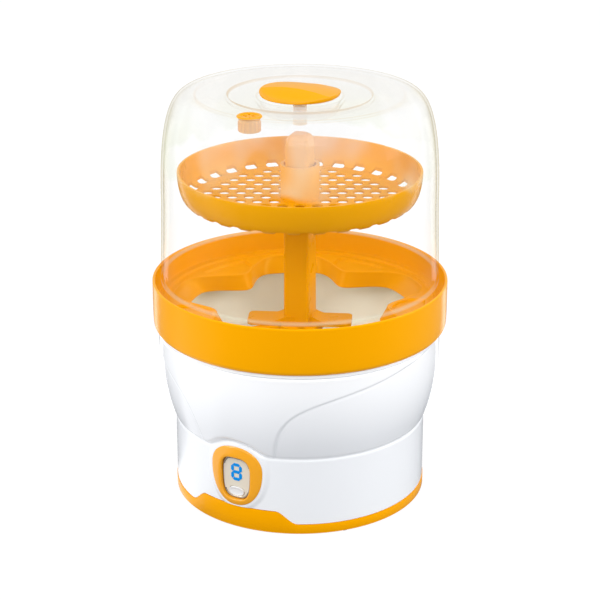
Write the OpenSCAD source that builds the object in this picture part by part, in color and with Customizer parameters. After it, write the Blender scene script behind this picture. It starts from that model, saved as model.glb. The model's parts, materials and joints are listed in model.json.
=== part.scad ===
// Steam sterilizer for baby bottles.
// Origin: centre of the resting plane.  +Z up, display towards -Y.  Millimetres.

/* [Base] */
// Outer radius of the lower cylinder
base_r = 106.5; // [106:0.1:107]
// Height of the trim ring's upper edge
trim_h = 9; // [7:0.5:11]
// Height of the raised tongue at the front of the trim ring
tongue_h = 20; // [18:0.5:21]
// Height of the crease between the cylinder and the bowl
waist_z = 68; // [67:0.5:69]
// Outer radius of the bowl near its top
bowl_r = 118.2; // [117.5:0.1:118.6]
// Height of the base's top face
deck_z = 148; // [147:0.5:149]
// Wall thickness of the housing
wall_t = 2.4; // [2:0.1:2.8]
// How far the front apron stands out from the bowl
apron_t = 1.1; // [0.6:0.1:1.4]

/* [Display] */
// Half width of the bezel
bezel_w = 24; // [22:0.5:25]
// Height of the bezel's widest place
bezel_z = 54; // [53:0.5:55]
// Width of the display window
window_w = 27; // [25:0.5:28]
// Height of the display window
window_h = 37; // [35:0.5:38]
// Width of the start button
button_w = 14; // [12:0.5:15]
// Height of the start button
button_h = 8; // [7:0.5:8.5]
// Travel of the start button
button_travel = 0.8; // [0.4:0.1:1]

/* [Rack] */
// Outer radius of the collar
collar_r = 123.75; // [123:0.25:125]
// Height of the collar's rim above the base's top face
collar_h = 40.5; // [38:0.5:43]
// Distance from the axis to the centre of a bottle bay
bay_pos = 61.6; // [60:0.1:63]
// Radius of a bottle bay
bay_r = 41.4; // [40:0.1:42]
// Number of bottle bays
bay_count = 5; // [5:1:5]

/* [Column] */
// Side of the square column at its foot
column_s = 22.4; // [21.8:0.1:22.6]
// Height of the shoulder that carries the tray
shoulder_z = 243; // [240:0.5:246]
// Height of the column's top
column_top = 312; // [308:0.5:314]
// Half length of the foot bar
foot_l = 44; // [40:0.5:48]

/* [Tray] */
// Radius of the tray's rim
tray_r = 101.3; // [98:0.1:104]
// Height of the tray's rim
tray_rim_z = 281; // [278:0.5:284]
// Diameter of a drain hole
drain_d = 9.6; // [8:0.1:10]

/* [Lid] */
// Outer radius of the dome at its lower edge
dome_r = 117; // [116:0.1:117.4]
// Height of the dome's flat top
dome_top = 347; // [345:0.5:349]
// Wall thickness of the dome
dome_t = 2; // [1.6:0.1:2.4]
// Radius of the lid's knob
knob_r = 33.2; // [31:0.1:33.6]
// Distance from the axis to the steam vent
vent_pos = 84.6; // [82:0.2:86]

/* [Cord] */
// Outer diameter of the mains cord
cord_d = 5.8; // [5.4:0.1:6]

/* [Hidden] */
$fn = 96;

gap = 0.15;                  // between pieces that only rest on one another
eps = 0.05;
orange = "#faa800";
white = "#f6f7f9";
steel = "#c9ccd0";

// ---- small helpers -------------------------------------------------------
// A point on a cubic Bezier curve.
function bezier(p, t) = pow(1 - t, 3) * p[0] + 3 * t * pow(1 - t, 2) * p[1]
    + 3 * t * t * (1 - t) * p[2] + pow(t, 3) * p[3];
function bezier_points(p, n) = [for (i = [0 : n]) bezier(p, i / n)];
// Points of an arc from angle a0 to angle a1 about c.
function arc(c, r, a0, a1, n) = [for (i = [0 : n]) c + r * [cos(a0 + (a1 - a0) * i / n),
                                                            sin(a0 + (a1 - a0) * i / n)]];
function signed_power(v, p) = sign(v) * pow(abs(v), p);

module revolve(points) { rotate_extrude() polygon(points); }
module at_polar(r, a, z) { rotate([0, 0, a]) translate([r, 0, z]) children(); }
module ring(r_out, r_in, z0, z1) {
    translate([0, 0, z0]) difference() {
        cylinder(r = r_out, h = z1 - z0);
        translate([0, 0, -1]) cylinder(r = r_in, h = z1 - z0 + 2);
    }
}
module disc(r, z0, z1) { translate([0, 0, z0]) cylinder(r = r, h = z1 - z0); }
module block(lo, hi) { translate(lo) cube(hi - lo); }
// Extrudes a front view outline, drawn as x and z, from y0 to y1.
module front_extrude(y0, y1) { translate([0, y1, 0]) rotate([90, 0, 0]) linear_extrude(y1 - y0) children(); }
module rounded_rect(w, h, r) {
    square([w - 2 * r, h], center = true);
    square([w, h - 2 * r], center = true);
    for (x = [-1, 1], y = [-1, 1]) translate([x * (w / 2 - r), y * (h / 2 - r)]) circle(r, $fn = 32);
}
module oval(w, h) {
    square([w - h, h], center = true);
    for (x = [-1, 1]) translate([x * (w - h) / 2, 0]) circle(h / 2, $fn = 48);
}
// A round rod between two points.
module rod(a, b, r) {
    d = b - a;
    translate(a) rotate([0, acos(d[2] / norm(d)), atan2(d[1], d[0])]) cylinder(r = r, h = norm(d), $fn = 24);
}
// A wire through a list of points, with a small ball at each bend.
module wire(points, r) {
    for (i = [1 : len(points) - 1]) rod(points[i - 1], points[i], r);
    for (i = [1 : 1 : len(points) - 2]) translate(points[i]) sphere(r + 0.15, $fn = 24);
}

// ---- base ------------------------------------------------------------------
foot_h = 1;                              // the cover's underside clears the table by this
trim_r = base_r + 0.5;
trim_wall = 2.6;
ring_h = 2.2;                            // thickness of the cover's floors
bay_out = 98;                            // cord bay, outer and inner radius
bay_in = 28;
bay_ceiling = 18;
cover_top = bay_ceiling + 2;
lip_r = base_r - wall_t - 0.25;          // the cover's lip fits inside the housing
bowl_foot_r = base_r - 1.3;
pad_r = base_r + 1.5;
bezel_face_r = base_r + 3.3;
window_z = bezel_z - 8.35;
digit_z = bezel_z - 3.5;
button_z = bezel_z - 20.8;

// Outer radius of the bowl at height z: steep rounding low down, upright at the top.
function bowl_at(z) = let (t = min(1, max(0, (z - waist_z + 3) / 70)))
    bowl_foot_r + (bowl_r - bowl_foot_r) * (1 - pow(1 - t, 2.3));
function bowl_points(d, z0, z1, n) = [for (i = [0 : n]) let (z = z0 + (z1 - z0) * i / n) [bowl_at(z) + d, z]];

// The trim ring's share of the wall: a low band with a raised tongue at the front.
module trim_region(d) {
    disc(base_r + 20, -1, trim_h + d);
    front_extrude(-base_r - 20, 0) polygon(concat(
        [[-52 - d, 0], [-52 - d, trim_h + d]],
        [for (x = [-50 : 2 : -34]) [x - d, tongue_edge(x) + d]],
        [for (x = [34 : 2 : 50]) [x + d, tongue_edge(x) + d]],
        [[52 + d, trim_h + d], [52 + d, 0]]));
}
function tongue_edge(x) = trim_h + (tongue_h - trim_h) * (1 + cos(180 * (abs(x) - 33) / 18)) / 2;

// Egg outline, broad at the top; d widens it all round.
module egg(d) {
    polygon([for (a = [0 : 9 : 351])
        [(bezel_w + d) * signed_power(cos(a), 0.92),
         bezel_z + (sin(a) > 0 ? bezel_w - 4 + d : bezel_w + 8.5 + d) * signed_power(sin(a), 0.92)]]);
}
// Window outline: a soft oblong, a little wider at the top.
module window_outline(d) {
    polygon([for (a = [0 : 9 : 351]) let (u = signed_power(sin(a), 0.62))
        [(window_w / 2 + d) * signed_power(cos(a), 0.62) * (1 + 0.05 * u),
         window_z + (window_h / 2 + d) * u]]);
}
// The front of the bowl stands out inside this outline.
module apron_outline() {
    edge = bezier_points([[39.5, waist_z - 2], [45, waist_z + 60],
                          [56, waist_z + 62], [118, deck_z - 1]], 12);
    polygon(concat(edge, [[122, deck_z + 2], [-122, deck_z + 2]],
                   [for (i = [12 : -1 : 0]) [-edge[i][0], edge[i][1]]]));
}

screw_r = 92;                            // cover screws
cover_screw_a = [45, 135, 225, 315];
control_board_y = -97.7;                 // front face of the control board
control_boss = [[-13.5, 24.5], [13.5, 24.5], [-13.5, 70], [13.5, 70]];

module housing_shell(d) {
    revolve(concat(
        [[base_r - wall_t, 0], [base_r, 0]],
        arc([base_r - 2.4, waist_z - 3], 2.4, 0, 72, 4),
        [[bowl_foot_r - 0.4, waist_z]],
        bowl_points(d, waist_z + 0.4, waist_z + 66, 14),
        [[bowl_r + d, deck_z - 3.6], [bowl_r + 1.5, deck_z - 3], [bowl_r + 1.6, deck_z - 1],
         [bowl_r + 1, deck_z], [bowl_r - 4, deck_z], [bowl_r - 4, deck_z - 2.1],
         [bowl_r - 9, deck_z - 2.1], [bowl_r - 9, deck_z - 5], [bowl_r - wall_t, deck_z - 5]],
        [for (i = [8 : -1 : 0]) let (z = waist_z + 4 + 7.5 * i) [bowl_at(z) - wall_t, z]],
        [[base_r - wall_t, waist_z - 2]]));
}

module base_housing() {
    color(white) difference() {
        union() {
            difference() {
                union() {
                    housing_shell(0);
                    intersection() {
                        housing_shell(apron_t);
                        front_extrude(-140, -20) apron_outline();
                    }
                }
                difference() {
                    front_extrude(-140, -60) egg(3.5);
                    disc(pad_r, 0, 100);
                }
            }
            intersection() {
                front_extrude(-140, -60) egg(3.5);
                ring(pad_r, base_r - wall_t, 10, 90);
            }
            for (a = cover_screw_a) {
                at_polar(screw_r, a, cover_top + gap) cylinder(r = 4.2, h = 34, $fn = 32);
                rotate([0, 0, a]) block([screw_r + 3, -1, cover_top + gap], [base_r - 1, 1, cover_top + 30]);
            }
            for (p = control_boss) translate([p[0], control_board_y - gap, p[1]])
                rotate([90, 0, 0]) cylinder(r = 3, h = 6.4, $fn = 32);
        }
        trim_region(gap);
        front_extrude(-140, -95) window_outline(0.9);
        for (a = cover_screw_a) at_polar(screw_r, a, cover_top - 1) cylinder(r = 1.55, h = 16, $fn = 24);
        for (p = control_boss) translate([p[0], control_board_y + 1, p[1]])
            rotate([90, 0, 0]) cylinder(r = 1.15, h = 6.4, $fn = 24);
    }
}

foot_r = 102.4;                          // rubber feet
foot_a = [40, 140, 220, 320];
cord_r = cord_d / 2;
cord_z = 9;
cord_turn = 33;                          // radius of the first half turn
cord_pitch = cord_d + 1.2;
exit_pos = [cord_turn, -8];              // where the cord goes up through the cover
board_lo = [-45, 12];                    // power board, plan corners
board_hi = [35, 58];
board_z = 27;
board_t = 1.6;
board_holes = [for (x = [board_lo[0] + 4, board_hi[0] - 4], y = [board_lo[1] + 4, board_hi[1] - 4]) [x, y]];

module bottom_cover() {
    color(orange) difference() {
        union() {
            intersection() {
                ring(trim_r, trim_r - trim_wall, foot_h, tongue_h + 1);
                trim_region(0);
            }
            ring(trim_r - 0.6, bay_out, foot_h, foot_h + ring_h);
            ring(bay_out + 2, bay_out, foot_h, cover_top);
            ring(lip_r, lip_r - 1.8, foot_h + 1, trim_h + 5);
            disc(bay_out + 2, bay_ceiling, cover_top);
            ring(bay_in, bay_in - 2, foot_h, bay_ceiling + 1);
            for (a = [90, 210, 330]) rotate([0, 0, a])
                block([bay_in - 1, -6, foot_h + 1], [bay_in + 9, 6, foot_h + 3]);
            for (p = board_holes) translate([p[0], p[1], cover_top - 1])
                cylinder(r = 3, h = board_z - cover_top + 1, $fn = 32);
        }
        for (a = cover_screw_a) at_polar(screw_r, a, 0) cylinder(r = 1.9, h = 40, $fn = 24);
        for (a = foot_a) at_polar(foot_r, a, 0) cylinder(r = 1.6, h = 10, $fn = 24);
        for (p = board_holes) translate([p[0], p[1], cover_top - 1.2]) cylinder(r = 1.15, h = 20, $fn = 24);
        translate([exit_pos[0], exit_pos[1], 10]) cylinder(r = 4.5, h = 20, $fn = 32);
    }
}

module rubber_feet() {
    color("#55575a") for (a = foot_a) at_polar(foot_r, a, 0) {
        cylinder(r = 3.4, h = foot_h - eps, $fn = 32);
        cylinder(r = 1.5, h = foot_h + ring_h - 0.4, $fn = 24);
    }
}

module cover_screws() {
    color(steel) for (a = cover_screw_a) at_polar(screw_r, a, 0)
        screw(bay_ceiling - eps, 3.4, 2, 1.5, 12);
}
// A pan head screw that points up, with its head's seat at z.
module screw(z, head_r, head_h, shank_r, length) {
    translate([0, 0, z - head_h]) difference() {
        union() {
            cylinder(r = head_r, h = head_h, $fn = 32);
            cylinder(r = shank_r, h = head_h + length, $fn = 24);
        }
        for (a = [0, 90]) rotate([0, 0, a])
            block([-head_r * 0.6, -0.4, -1], [head_r * 0.6, 0.4, head_h * 0.5]);
    }
}

// ---- water basin and heater --------------------------------------------------
floor_z = 101.2;                         // underside of the basin's floor
lip_z = deck_z + 6.4;                    // top of the basin's lip, just below the bottle bays
plate_z = floor_z - 3.4;                 // underside of the heating plate
plate_r = 61.5;
clamp_r = 66;                            // screws of the clamp ring
clamp_a = [20, 110, 200, 290];
element_r = 42;
element_t = 3.8;
element_z = plate_z - element_t - 0.1;
element_a = 300;                         // sweep of the element's ring
pin_a = element_a / 2 - 6;               // cold pins, near both ends of the ring

module water_basin() {
    color("#efe9dc") difference() {
        union() {
            revolve([[57, floor_z], [82, floor_z], [94, floor_z + 5], [101, floor_z + 15],
                     [105, floor_z + 30], [107.6, deck_z - 4.5], [107.9, deck_z - 2],
                     [bowl_r - 4.15, deck_z - 2], [bowl_r - 4.15, deck_z], [106.4, deck_z],
                     [105.6, lip_z - 0.6], [105, lip_z], [104, lip_z], [103.4, lip_z - 0.6],
                     [103.6, deck_z - 4.5], [102.4, floor_z + 30], [99, floor_z + 16],
                     [92.8, floor_z + 7], [81.5, floor_z + 2.2], [57, floor_z + 2.2]]);
            for (a = clamp_a) at_polar(clamp_r, a, plate_z + gap) cylinder(r = 3.5, h = 4, $fn = 32);
        }
        for (a = clamp_a) at_polar(clamp_r, a, plate_z - 1) cylinder(r = 1.25, h = 5.6, $fn = 24);
    }
}

module heating_plate() {
    color(steel) revolve([[0, plate_z], [plate_r, plate_z], [plate_r, plate_z + 1.4],
                          [54, plate_z + 1.4], [52, plate_z + 1.1], [0, plate_z + 1.1]]);
}

module plate_seal() { color("#d8d9da") ring(60.5, 57.5, plate_z + 1.45, floor_z - eps); }

module plate_clamp() {
    color(steel) difference() {
        ring(clamp_r + 4, 57, plate_z - 2.1, plate_z - 0.1);
        for (a = clamp_a) at_polar(clamp_r, a, plate_z - 5) cylinder(r = 1.5, h = 10, $fn = 24);
    }
}

module plate_screws() {
    color(steel) for (a = clamp_a) at_polar(clamp_r, a, 0) screw(plate_z - 2.15, 2.6, 1.8, 1.2, 6);
}

// A ring tube with a gap, its two ends turned down as cold pins.
module heating_element() {
    color("#8d8f92") {
        rotate([0, 0, -element_a / 2]) rotate_extrude(angle = element_a)
            translate([element_r, element_z]) circle(element_t, $fn = 32);
        for (a = [-pin_a, pin_a]) at_polar(element_r, a, element_z - 14) cylinder(r = 2, h = 14, $fn = 24);
    }
}

module thermostat() {
    color("#3a3b3e") {
        disc(8.5, plate_z - 6, plate_z - 0.1);
        disc(7, plate_z - 10, plate_z - 5);
        for (x = [-4.5, 4.5]) block([x - 0.4, -3, plate_z - 17], [x + 0.4, 3, plate_z - 9]);
    }
}

module thermal_fuse() {
    color("#e8d9b0") {
        translate([-7, 16, plate_z - 2.1]) rotate([0, 90, 0]) cylinder(r = 1.9, h = 14, $fn = 24);
        translate([-14, 16, plate_z - 2.1]) rotate([0, 90, 0]) cylinder(r = 0.6, h = 28, $fn = 24);
    }
}

// A strap below the plate that presses the thermostat upward.
module sensor_bracket() {
    strap_z = plate_z - 11.2;
    color(steel) difference() {
        union() {
            block([-62, -6, strap_z], [62, 6, strap_z + 1]);
            for (s = [-1, 1]) block([s * 61 - 1, -6, strap_z], [s * 61 + 1, 6, plate_z - 2.2]);
        }
        for (x = [-4.5, 4.5]) block([x - 1.5, -4, strap_z - 1], [x + 1.5, 4, strap_z + 2]);
    }
}

// ---- electronics -----------------------------------------------------------
board_top = board_z + gap + board_t;

module power_board() {
    color("#2f7d4a") difference() {
        block([board_lo[0], board_lo[1], board_z + gap], [board_hi[0], board_hi[1], board_top]);
        for (p = board_holes) translate([p[0], p[1], board_z - 1]) cylinder(r = 1.5, h = 5, $fn = 24);
    }
}
module power_relay() { color("#2a2b2e") block([-34, 30, board_top + eps], [-15, 45.5, board_top + 15.6]); }
module power_transformer() {
    color("#d9c27a") {
        block([-6, 26, board_top + eps], [22, 50, board_top + 4]);
        block([-2, 29, board_top + 3], [18, 47, board_top + 20]);
    }
}
module filter_capacitor() {
    color("#30415f") translate([29, 34, board_top + eps]) cylinder(r = 5, h = 12, $fn = 48);
}
module board_screws() {
    color(steel) for (p = board_holes) translate([p[0], p[1], 0]) mirror([0, 0, 1])
        screw(-board_top - eps, 2.5, 1.8, 1.05, 8);
}

module control_board() {
    color("#2f7d4a") difference() {
        block([-17, control_board_y, 20.5], [17, control_board_y + 1.6, 74]);
        for (p = control_boss) translate([p[0], control_board_y + 5, p[1]])
            rotate([90, 0, 0]) cylinder(r = 1.4, h = 10, $fn = 24);
    }
}
module control_screws() {
    color(steel) for (p = control_boss) translate([p[0], 0, p[1]]) rotate([90, 0, 0])
        screw(-control_board_y - 1.6 - eps, 2.1, 1.5, 1.05, 5.5);
}

module_front = -base_r + 1.3;            // front face of the display module
switch_front = control_board_y - 3.5;
plunger_front = switch_front - 1.1;

module display_module() {
    color("#26282b")
        block([-6.35, module_front, digit_z - 9.5], [6.35, control_board_y - eps, digit_z + 9.5]);
}

// One bar of the digit, drawn upright, with pointed ends.
module segment_bar(l, w) {
    polygon([[-l / 2, 0], [-l / 2 + w / 2, -w / 2], [l / 2 - w / 2, -w / 2],
             [l / 2, 0], [l / 2 - w / 2, w / 2], [-l / 2 + w / 2, w / 2]]);
}
segment_w = 2.3;
digit_w = 7.6;                           // between the centre lines of the outer bars
digit_h = 6.4;                           // between the centre lines of the level bars
module digit_outline(d) {
    for (k = [-1 : 1]) translate([0, digit_z + k * digit_h]) segment_bar(digit_w - 0.5 + d, segment_w + d);
    for (x = [-1, 1], k = [-1, 1]) translate([x * digit_w / 2, digit_z + k * digit_h / 2])
        rotate(90) segment_bar(digit_h - 0.5 + d, segment_w + d);
}
module digit_segments() {
    color("#1686dd") front_extrude(-base_r - 2.55, module_front - eps) digit_outline(0);
}

module display_window() {
    color("#d8cdb8") difference() {
        front_extrude(-base_r - 2.4, -base_r) window_outline(0);
        front_extrude(-base_r - 5, 0) digit_outline(0.1);
        translate([0, 0, button_z]) front_extrude(-base_r - 5, 0) oval(button_w + 0.2, button_h + 0.2);
    }
}

module display_bezel() {
    color(orange) difference() {
        intersection() {
            front_extrude(-140, -90) egg(0);
            ring(bezel_face_r, pad_r + eps, 10, 90);
        }
        front_extrude(-140, -90) window_outline(0.15);
    }
}

module start_button() {
    color("#dfe2e6") translate([0, 0, button_z]) {
        front_extrude(-base_r - 3.1, -base_r + 0.2) oval(button_w, button_h);
        front_extrude(-base_r + 0.15, -base_r + 1.2) oval(button_w + 2, button_h + 2);
        translate([0, plunger_front - eps, 0]) rotate([90, 0, 0])
            cylinder(r = 2, h = base_r + plunger_front - 1, $fn = 32);
    }
}
module switch_plunger() {
    color("#2a2b2e") translate([0, plunger_front + 2.2, button_z]) rotate([90, 0, 0])
        cylinder(r = 1.7, h = 2.2, $fn = 32);
}
module tact_switch() {
    color("#b9bcc0") difference() {
        block([-3, switch_front, button_z - 3], [3, control_board_y - eps, button_z + 3]);
        translate([0, switch_front + 2.3, button_z]) rotate([90, 0, 0]) cylinder(r = 1.78, h = 5, $fn = 32);
    }
}
module buzzer() {
    color("#2a2b2e") translate([0, control_board_y + 1.65, 60]) rotate([-90, 0, 0]) difference() {
        cylinder(r = 6, h = 5, $fn = 48);
        translate([0, 0, 3]) cylinder(r = 1, h = 4, $fn = 24);
    }
}

module wiring() {
    ex = exit_pos[0];
    ey = exit_pos[1];
    pin = element_r * [cos(pin_a), sin(pin_a)];
    pin_z = element_z - 14.1;
    color("#b3402e") {
        for (s = [-1, 1]) wire([[ex + s * 1.3, ey, 30.1], [ex + s * 1.3, ey, 38], [ex - 8 + s * 1.3, 18, 38],
                                [ex - 8 + s * 1.3, 18, board_top + eps]], 0.9);
        wire([[pin[0], pin[1], pin_z], [pin[0], pin[1], 52], [-41, 27, 52], [-41, 27, board_top + eps]], 1.1);
        wire([[pin[0], -pin[1], pin_z], [pin[0], -pin[1], 44], [-41, 22, 44],
              [-41, 22, board_top + eps]], 1.1);
        for (x = [-4, 0, 4]) wire([[x, 15, board_top + eps], [x, 15, 40], [x, -88, 40],
                                   [x, control_board_y + 1.7, 40]], 0.7);
    }
}

// ---- mains cord, wound in the bay under the base -----------------------------
cord_halves = 5;                         // half turns before the last wide one
plug_bend = 72;                          // where the last half turn ends
plug_turn = 15;                          // degrees past the half turn
last_r = (plug_bend + cord_turn + (cord_halves - 1) * cord_pitch / 2) / 2;
last_c = plug_bend - last_r;
function plug_place() = [last_c + last_r * cos(plug_turn), last_r * sin(plug_turn), cord_z];

module cord_arc(c, r, a0, a) {
    translate([c, 0, cord_z]) rotate([0, 0, a0]) rotate_extrude(angle = a)
        translate([r, 0]) circle(cord_r, $fn = 32);
}
module power_cord() {
    elbow = -exit_pos[1];
    color("#e9eaec") {
        translate([exit_pos[0], exit_pos[1], cord_z + elbow])
            cylinder(r = cord_r, h = 30 - cord_z - elbow, $fn = 32);
        translate([exit_pos[0], 0, cord_z + elbow]) rotate([0, 90, 0])
            rotate([0, 0, 180]) mirror([1, 0, 0]) rotate_extrude(angle = 90)
                translate([elbow, 0]) circle(cord_r, $fn = 32);
        for (i = [0 : cord_halves - 1]) let (odd = i % 2)
            cord_arc(odd * cord_pitch / 2, cord_turn + i * cord_pitch / 2, odd * 180, 180);
        cord_arc(last_c, last_r, 180, 180 + plug_turn);
    }
}
module mains_plug() {
    color("#e9eaec") translate(plug_place()) rotate([0, 0, plug_turn]) {
        translate([0, 17.5, -6.8]) linear_extrude(13.6) rounded_rect(33, 34, 8);
        for (x = [-9.5, 9.5]) translate([x, 34, 0]) rotate([-90, 0, 0]) cylinder(r = 2, h = 19, $fn = 24);
    }
}
module strain_relief() {
    color("#55575a") translate([exit_pos[0], exit_pos[1], 0]) difference() {
        union() {
            disc(4.4, bay_ceiling - 0.5, cover_top + 1);
            disc(6, cover_top + eps, cover_top + 6);
        }
        translate([0, 0, 5]) cylinder(r = cord_r + 0.1, h = 40, $fn = 32);
    }
}

// ---- lower rack --------------------------------------------------------------
rack_z = deck_z + gap;                   // underside of the rack
rim_z = deck_z + collar_h;
ledge_z = rim_z - 18.5;                  // the dome stands here
shelf_z = ledge_z - 2;
bay_depth = 13;
hub_top = rack_z - 1;
hub_z = hub_top - 5.4;
spoke_a = [-36, 36];                     // from the front, towards the cusps between bays

module bay_cones(d, d2) {
    for (i = [0 : bay_count - 1]) rotate([0, 0, i * 360 / bay_count - 90]) translate([bay_pos, 0, shelf_z])
        rotate([0, -14, 0]) translate([0, 0, -bay_depth - 12])
            cylinder(r1 = bay_r - 5.8 + d, r2 = bay_r + 1.4 + d + d2, h = bay_depth + 18);
}
module lower_rack() {
    color(orange) difference() {
        union() {
            // collar, ledge and shelf
            revolve(concat(
                [[collar_r - 2.6, rack_z], [collar_r - 1.4, rack_z + 0.5], [collar_r - 0.4, rack_z + 2.4],
                 [collar_r - 0.1, rack_z + 5], [collar_r, rack_z + 10]],
                arc([collar_r - 1.2, rim_z - 1.2], 1.2, 0, 180, 8),
                [[collar_r - 4.3, ledge_z + 0.6], [collar_r - 4.9, ledge_z], [collar_r - 10.3, ledge_z],
                 [collar_r - 10.8, shelf_z], [60, shelf_z], [60, shelf_z - 2.2],
                 [collar_r - 8.6, shelf_z - 2.2], [collar_r - 8.2, ledge_z - 2.2],
                 [collar_r - 2.4, ledge_z - 2.6], [collar_r - 2.4, rack_z + 2.2],
                 [106.8, rack_z + 2.2], [106.8, rack_z]]));
            // walls of the bays
            intersection() {
                bay_cones(2, 0);
                ring(111, 45, shelf_z - bay_depth, shelf_z - 0.2);
            }
            // pockets behind the cusps
            for (i = [0 : bay_count - 1]) at_polar(0, (i + 0.5) * 360 / bay_count - 90, 0)
                intersection() {
                    ring(110, 66, shelf_z - 8, shelf_z - 0.5);
                    translate([0, 0, shelf_z - 8]) linear_extrude(8)
                        polygon([[62, -10], [112, -42], [112, 42], [62, 10]]);
                }
            // hub and its spokes
            disc(20, hub_z, hub_top);
            for (a = spoke_a) rotate([0, 0, a - 90]) {
                block([15, -4, hub_z], [74, 4, hub_top]);
                block([67, -4, hub_z], [74, 4, shelf_z - 4]);
            }
        }
        intersection() {
            bay_cones(0, 0);
            disc(140, shelf_z - bay_depth - 1, shelf_z + 5);
        }
        disc(52, hub_top + 0.01, shelf_z + 5);
        // hollow of the pockets
        for (i = [0 : bay_count - 1]) at_polar(0, (i + 0.5) * 360 / bay_count - 90, 0)
            difference() {
                intersection() {
                    ring(106, 74, shelf_z - 2.5, shelf_z + 1);
                    translate([0, 0, shelf_z - 2.5]) linear_extrude(8)
                        polygon([[62, -10], [112, -40], [112, 40], [62, 10]]);
                }
                rotate([0, 0, -(i + 0.5) * 360 / bay_count + 90]) bay_cones(2.4, 0.6);
            }
        translate([0, 0, hub_z - 1]) cylinder(r = 9.2, h = 20);
    }
}

// ---- column --------------------------------------------------------------------
foot_z = hub_top + gap;
foot_t = 2.8;
foot_turn = 25;                          // direction of the foot bar, from +X
flare_l = 27;                            // radius and reach of the flares on the bar
column_turn = 9.4;                       // direction of the column's faces
shoulder_s = column_s - 0.8;
post_s = column_s - 1.9;
post_top_s = column_s - 2.3;

// A square post with rounded corners and a slight taper.
module post(s0, s1, r, h) {
    hull() for (x = [-1, 1], y = [-1, 1]) {
        translate([x * (s0 / 2 - r), y * (s0 / 2 - r), 0]) cylinder(r = r, h = 0.01, $fn = 32);
        translate([x * (s1 / 2 - r), y * (s1 / 2 - r), h]) cylinder(r = r, h = 0.01, $fn = 32);
    }
}
module column() {
    color(orange) {
        rotate([0, 0, foot_turn]) {
            translate([0, 0, foot_z]) linear_extrude(foot_t) rounded_rect(2 * foot_l, 26, 5);
            // hollow flares that run from the bar up into the column
            front_extrude(-column_s / 2 + 0.6, column_s / 2 - 0.6)
                polygon(concat([[0, foot_z + 1]],
                    arc([flare_l, foot_z + foot_t + flare_l], flare_l, 270, 235, 6),
                    arc([-flare_l, foot_z + foot_t + flare_l], flare_l, 305, 270, 6)));
        }
        rotate([0, 0, column_turn]) {
            translate([0, 0, foot_z + 1]) post(column_s, shoulder_s, 2.6, shoulder_z - foot_z - 1);
            translate([0, 0, shoulder_z - 1]) post(post_s, post_top_s, 3, column_top - 9 - shoulder_z);
            translate([0, 0, column_top - 10.1]) post(post_top_s, post_top_s - 1.6, 3, 6);
            translate([0, 0, column_top - 4.2]) post(post_top_s - 1.7, post_top_s - 4.6, 3, 2.6);
            translate([0, 0, column_top - 1.7]) post(post_top_s - 4.8, post_top_s - 9, 3, 1.7);
        }
        translate([0, 0, foot_z - 8]) cylinder(r = 9, h = 9);
    }
}

// ---- upper tray ------------------------------------------------------------------
tray_floor_z = tray_rim_z - 25.2;        // underside of the tray's floor
tray_floor_r = tray_r - 9.3;             // the floor is flat up to here, then curves up into the wall
tray_t = 1.8;
tube_r = 16.2;                           // socket tube that slips over the column
boss_r = 22;                             // scalloped boss under it
hole_pitch = 14;                         // holes stand in rows, each row shifted by half a pitch
row_pitch = hole_pitch * sqrt(3) / 2;
slot_count = 30;                         // slots near the wall
slot_pos = 92.4;
tray_turn = 29.3;                        // direction of the rows

// Quarter ellipse from the floor's edge up to the rim, moved in by t.
function tray_corner(t) = [for (i = [0 : 9]) let (a = 10 * i)
    [tray_floor_r - t * sin(a) + (tray_r - tray_floor_r) * sin(a),
     tray_rim_z - (tray_rim_z - tray_floor_z - t) * cos(a)]];
module upper_tray() {
    seat_z = shoulder_z + 0.1;
    inner = tray_corner(tray_t);
    color(orange) difference() {
        union() {
            revolve(concat([[tube_r - 3, tray_floor_z]], tray_corner(0),
                [for (i = [9 : -1 : 0]) inner[i]], [[tube_r - 3, tray_floor_z + tray_t]]));
            disc(tube_r, shoulder_z - 2, tray_rim_z + 5.3);
            difference() {
                disc(boss_r, shoulder_z - 10, shoulder_z + 4);
                for (i = [0 : 5]) rotate([0, 0, 60 * i - 60.7]) translate([0, 0, shoulder_z - 10])
                    rotate([0, 90, 0]) cylinder(r = 5.6, h = 40, $fn = 48);
            }
        }
        disc(13.5, shoulder_z - 20, tray_rim_z + 10);
        disc(14.8, shoulder_z - 20, seat_z);
        rotate([0, 0, tray_turn]) {
            for (row = [-6 : 6], i = [-6 : 6]) {
                x = (i + (row % 2 == 0 ? 0 : 0.5)) * hole_pitch;
                y = row * row_pitch;
                if (norm([x, y]) > tube_r + drain_d / 2 + 1.5 && norm([x, y]) < 82)
                    translate([x, y, tray_floor_z - 5]) cylinder(r = drain_d / 2, h = 20, $fn = 24);
            }
            for (i = [0 : slot_count - 1]) rotate([0, 0, 360 * i / slot_count + 9])
                translate([slot_pos, 0, tray_floor_z - 5]) linear_extrude(16) rounded_rect(7.6, 11, 2.5);
        }
    }
}

// ---- lid -------------------------------------------------------------------------
dome_z = ledge_z + gap;                  // lower edge of the dome
bend_z = dome_top - 94;                  // above this the wall curves into the top
bend_r = dome_r - 2.3;
crown_r = 90;                            // crown of the top's raised lip
dish_z = dome_top - 1.1;                 // flat ring inside the lip
step_z = dome_top - 4;                   // flat plate around the well, one step lower
ring_r = 59;                             // edge between the dish and the plate
well_r = 35;                             // well for the knob, at its top and at its floor
well_floor_r = 27;
well_z = dome_top - 16.6;                // top of the well's floor
vent_turn = 1.8;                         // direction of the vent, from the front
vent_r = 10.1;

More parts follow.
